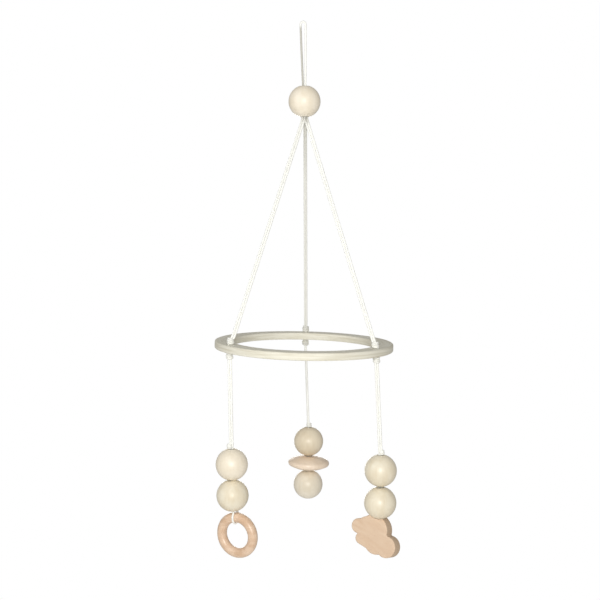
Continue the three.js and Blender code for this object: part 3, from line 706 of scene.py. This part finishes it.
# The way inwards is square to the edge's heading, taken over three points each way.
heading = np.roll(outline, -3, axis=0) - np.roll(outline, 3, axis=0)
inwards = np.stack([-heading[:, 1], heading[:, 0]], axis=1)
inwards /= np.linalg.norm(inwards, axis=1, keepdims=True)
edge = np.linspace(0, np.pi / 2, 6)
steps_in = CLOUD_EDGE_R * (1 - np.sin(edge))
steps_out = CLOUD_T / 2 - CLOUD_EDGE_R * (1 - np.cos(edge))
FACE_SCALES = (0.02, 0.5, 0.9)             # the outline's copies over a face


def cloud_rows(side):
    """The cloud's skin from the middle of one face out to its edge: scaled copies of the outline
    over the face, then the outline moved inwards by what is left of the rounded edge."""
    face_edge = outline + inwards * CLOUD_EDGE_R
    copies = [(CLOUD_HEART + scale * (face_edge - CLOUD_HEART), CLOUD_T / 2)
              for scale in FACE_SCALES]
    copies += [(outline + inwards * into, thick) for into, thick in zip(steps_in, steps_out)]
    return [np.column_stack([flat[:, 0], np.full(len(flat), side * thick), flat[:, 1]])
            for flat, thick in copies]


cloud_grid = np.stack(cloud_rows(-1) + cloud_rows(1)[::-1])
cloud_grid -= (CLOUD_BORE_X, 0, CLOUD_BEND_Y)
cloud_turn = np.array(Matrix.Rotation(CLOUD_YAW, 3, "Z") @ Matrix.Rotation(CLOUD_LEAN, 3, "X")
                      @ Matrix.Rotation(CLOUD_TILT, 3, "Y"))

# Bare sanded beech: pale pinkish tan and quite matt, with soft bands of grain along the base,
# 5 mm apart, and brown flecks 2.5 mm long. Its sawn edge is end grain, and it is painted browner:
# partly end grain's own colour, partly painted shade.
bare, tree, surface = finish_of("bare sanded beech", Roughness=0.68, IOR=1.46)
own_place = node(tree, "Attribute", attribute_name="own_place")
grain_map = node(tree, "Mapping", {"Vector": own_place.outputs["Vector"],
                                   "Scale": 1 / CLOUD_BAND})
bands = node(tree, "TexNoise", {"Vector": grain_map.outputs["Vector"], "Scale": 1.0,
                                "Detail": 3.0, "Distortion": 0.5})
band_share = node(tree, "MapRange", {"Value": bands.outputs["Fac"], "From Min": 0.3,
                                     "From Max": 0.7})
fleck_map = node(tree, "Mapping", {"Vector": own_place.outputs["Vector"],
                                   "Scale": 1 / CLOUD_FLECK})
flecks = node(tree, "TexNoise", {"Vector": fleck_map.outputs["Vector"], "Scale": 1.0})
fleck_share = node(tree, "MapRange", {"Value": flecks.outputs["Fac"], "From Min": 0.58,
                                      "From Max": 0.75, "To Max": 0.4})
tan = node(tree, "Mix", {"Factor": band_share.outputs["Result"], "A": paint("#E0C8AF"),
                         "B": paint("#D6BA9F")}, data_type="RGBA")
flecked_tan = node(tree, "Mix", {"Factor": fleck_share.outputs["Result"],
                                 "A": tan.outputs["Result"], "B": paint("#C49F80")},
                   data_type="RGBA")
# The sawn edge's brown is partly end grain's own colour, partly painted shade.
sawn = node(tree, "Attribute", attribute_name="sawn_edge")
sawn_share = node(tree, "Math", {0: sawn.outputs["Fac"], 1: END_GRAIN_AND_SHADE}, operation="MULTIPLY")
with_edge = node(tree, "Mix", {"Factor": sawn_share.outputs["Value"],
                               "A": flecked_tan.outputs["Result"], "B": paint("#C6AE93")},
                 data_type="RGBA")
tree.links.new(with_edge.outputs["Result"], surface.inputs["Base Color"])
relief = node(tree, "Bump", {"Height": flecks.outputs["Fac"], "Strength": 0.3,
                             "Distance": 0.3 * MM})
tree.links.new(relief.outputs["Normal"], surface.inputs["Normal"])

cloud = skinned("cloud_sawn", cloud_grid @ cloud_turn.T + CLOUD_AT, bare)
cloud_axis = cloud_turn @ np.array([0.0, 0, 1])
# The dish is the seated ball, a little larger. Its rows stop a hair short of the poles, where a
# small flat face closes it.
DISH_POLE = np.pi / 2 - 0.02
dish_lat = np.linspace(-DISH_POLE, DISH_POLE, 48)[:, None]
dish_turn = np.linspace(0, 2 * np.pi, 96, endpoint=False)[None, :]
dish_grid = (BALL_D / 2 + DISH_GAP) * np.stack([
    np.cos(dish_lat) * np.cos(dish_turn), np.cos(dish_lat) * np.sin(dish_turn),
    np.sin(dish_lat) + 0 * dish_turn], axis=-1) + SEATED_BALL_AT
PAST_BASE, PAST_CROWN = -60 * MM, 20 * MM             # the drill's ends, both outside the wood
recess_top = KNOT_RECESS_H - CLOUD_BEND_Y
carve(cloud, [
    skinned("dish", dish_grid, bare),
    peg(CLOUD_AT, cloud_axis, PAST_BASE, PAST_CROWN, BALL_BORE / 2, bare),
    peg(CLOUD_AT, cloud_axis, PAST_BASE, recess_top, KNOT_RECESS_D / 2, bare)])
own = (points_of(cloud) - CLOUD_AT) @ cloud_turn
on_edge = np.abs(own[:, 1]) < CLOUD_T / 2 - FACE_REACH * CLOUD_EDGE_R
shade_by(cloud, "own_place", own)
shade_by(cloud, "sawn_edge", on_edge.astype(float))
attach(cloud, "root")
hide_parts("cloud")

# --- Floor and light -------------------------------------------------------------------------
# A plain pale floor, a room's height under the hook. A large soft light behind the camera shines
# straight on to the mobile, weaker ones fill in from the left and from behind, and a wide one
# lights the floor. The room around is even and pale.
FLOOR_Z = -1.9
FLOOR_R = 1.6
ROOM_LIGHT = 0.37            # how bright the room around is, beside the lamps
rim_turn = np.linspace(0, 2 * np.pi, 96, endpoint=False)
floor_rim = FLOOR_R * np.stack([np.cos(rim_turn), np.sin(rim_turn), 0 * rim_turn], axis=1)
floor_mesh = bpy.data.meshes.new("floor")
floor_mesh.from_pydata((floor_rim + (0, 0, FLOOR_Z)).tolist(), [], [list(range(len(floor_rim)))])
pale_floor, tree, surface = finish_of("pale matt floor paint", Roughness=0.8)
surface.inputs["Base Color"].default_value = paint("#F2F1EE")
floor_mesh.materials.append(pale_floor)
floor = bpy.data.objects.new("floor", floor_mesh)
bpy.context.collection.objects.link(floor)


def soft_light(name, at, size, watts, colour, target=(0, 0, -0.25)):
    """A square soft light of that size that faces the target. The camera doesn't see it."""
    made = bpy.data.objects.new(name, bpy.data.lights.new(name, "AREA"))
    made.data.size = size
    made.data.energy = watts
    made.data.color = paint(colour)[:3]
    made.location = at
    aim = Vector(target) - Vector(at)
    made.rotation_euler = aim.to_track_quat("-Z", "Y").to_euler()
    made.visible_camera = False
    bpy.context.collection.objects.link(made)


soft_light("key", (-0.02, -1.35, -0.08), 0.5, 12.8, "#FFFDF9")
soft_light("fill", (-1.0, -0.6, 0.25), 0.7, 2.5, "#FFFFFF")
soft_light("behind", (-0.1, 1.35, -0.5), 0.6, 5, "#FFFFFF")
soft_light("over_floor", (0, 0, FLOOR_Z + 0.6), 2.6, 14, "#FFFFFF", (0, 0, FLOOR_Z))

surround = bpy.data.worlds.new("surround")
bpy.context.scene.world = surround
surround.use_nodes = True
tree = surround.node_tree
tree.nodes.clear()
seen = node(tree, "LightPath")
white_wall = node(tree, "Background", {"Color": paint("#FFFFFF"), "Strength": 1.0})
room = node(tree, "Background", {"Color": paint("#FFFEFB"), "Strength": ROOM_LIGHT})
choice = node(tree, "MixShader", {0: seen.outputs["Is Camera Ray"], 1: room.outputs[0],
                                  2: white_wall.outputs[0]})
tree.links.new(choice.outputs[0], node(tree, "OutputWorld").inputs["Surface"])
bpy.context.scene.view_settings.view_transform = "Standard"
